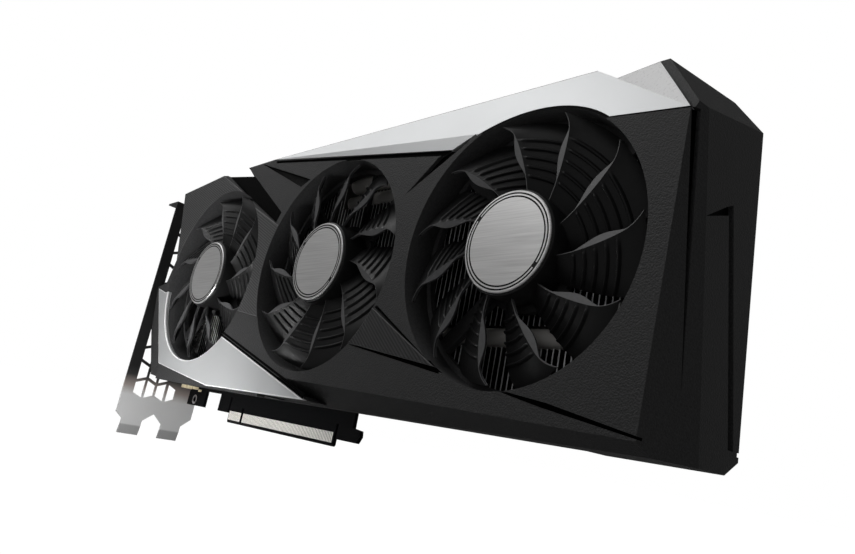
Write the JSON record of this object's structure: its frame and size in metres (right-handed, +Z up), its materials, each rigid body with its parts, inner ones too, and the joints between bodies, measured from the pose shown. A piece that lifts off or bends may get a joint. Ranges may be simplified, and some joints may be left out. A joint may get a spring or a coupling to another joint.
{
  "type": "graphics card",
  "caption": "Dual-slot graphics card with axial fans in an angular charcoal and silver shroud, a backplate and a vented slot bracket.",
  "frame": {"origin": "middle of the edge connector's lower edge, in the middle of the circuit board's thickness", "axes": "+X along the card from the slot bracket to the closed end, +Y from the fans to the backplate, +Z up, away from the slot"},
  "size_m": [0.2917, 0.041, 0.1321],
  "materials": {
    "shroud_plastic": "fine-grained charcoal plastic with fine moulded lines on two panels",
    "silver_paint": "smooth satin silver paint on plastic",
    "fan_plastic": "semi-gloss black",
    "copper_winding": "enamelled copper wire",
    "bearing_steel": "turned",
    "magnet": "dark grey, bonded ferrite",
    "label_metal": "brushed in one direction",
    "fin_metal": "nickel-plated sheet",
    "pipe_metal": "nickel-plated copper",
    "board": "black solder mask",
    "contact_gold": "gold plated",
    "chip_black": "moulded epoxy",
    "ferrite": "pressed ferrite",
    "pad_grey": "soft thermal pad",
    "capacitor": "plain can",
    "header_white": "nylon",
    "lead_black": "insulated lead",
    "socket_black": "nylon",
    "backplate_paint": "satin black",
    "bracket_steel": "smooth bright nickel plate",
    "port_metal": "nickel-plated sheet",
    "screw_metal": "black oxide"
  },
  "bodies": {
    "card": {"shroud": "shroud_plastic", "trim_lower": "silver_paint", "trim_upper": "silver_paint", "fan_frame_left": "fan_plastic", "fan_frame_middle": "fan_plastic", "fan_frame_right": "fan_plastic", "stator_left": "copper_winding", "stator_middle": "copper_winding", "stator_right": "copper_winding", "bearing_left": "bearing_steel", "bearing_middle": "bearing_steel", "bearing_right": "bearing_steel", "fins_left": "fin_metal", "fins_middle": "fin_metal", "fins_right": "fin_metal", "heat_pipes": "pipe_metal", "cold_plate": "pipe_metal", "pipe_crossover": "pipe_metal", "circuit_board": "board", "edge_contacts": "contact_gold", "gpu_package": "chip_black", "memory_chips": "chip_black", "memory_pads": "pad_grey", "chokes": "ferrite", "power_stages": "chip_black", "capacitors": "capacitor", "fan_header": "header_white", "fan_leads": "lead_black", "power_socket": "socket_black", "power_pins": "contact_gold", "backplate": "backplate_paint", "slot_bracket": "bracket_steel", "displayport_shells": "port_metal", "hdmi_shells": "port_metal", "port_tongues": "socket_black", "cooler_screws": "screw_metal", "backplate_screws": "screw_metal", "shroud_screws": "screw_metal", "fan_screws": "screw_metal", "bracket_screws": "screw_metal"},
    "fan_left": {"rotor_left": "fan_plastic", "label_left": "label_metal", "yoke_left": "bearing_steel", "magnet_left": "magnet", "shaft_left": "bearing_steel"},
    "fan_middle": {"rotor_middle": "fan_plastic", "label_middle": "label_metal", "yoke_middle": "bearing_steel", "magnet_middle": "magnet", "shaft_middle": "bearing_steel"},
    "fan_right": {"rotor_right": "fan_plastic", "label_right": "label_metal", "yoke_right": "bearing_steel", "magnet_right": "magnet", "shaft_right": "bearing_steel"}
  },
  "joints": [
    {"name": "fan_left_spin", "type": "hinge", "parent": "card", "child": "fan_left", "pos_m": [-0.0321, -0.0334, 0.0626], "axis": [0, 1, 0], "continuous": true},
    {"name": "fan_middle_spin", "type": "hinge", "parent": "card", "child": "fan_middle", "pos_m": [0.0549, -0.0334, 0.0626], "axis": [0, 1, 0], "continuous": true},
    {"name": "fan_right_spin", "type": "hinge", "parent": "card", "child": "fan_right", "pos_m": [0.1419, -0.0334, 0.0626], "axis": [0, 1, 0], "continuous": true}
  ]
}
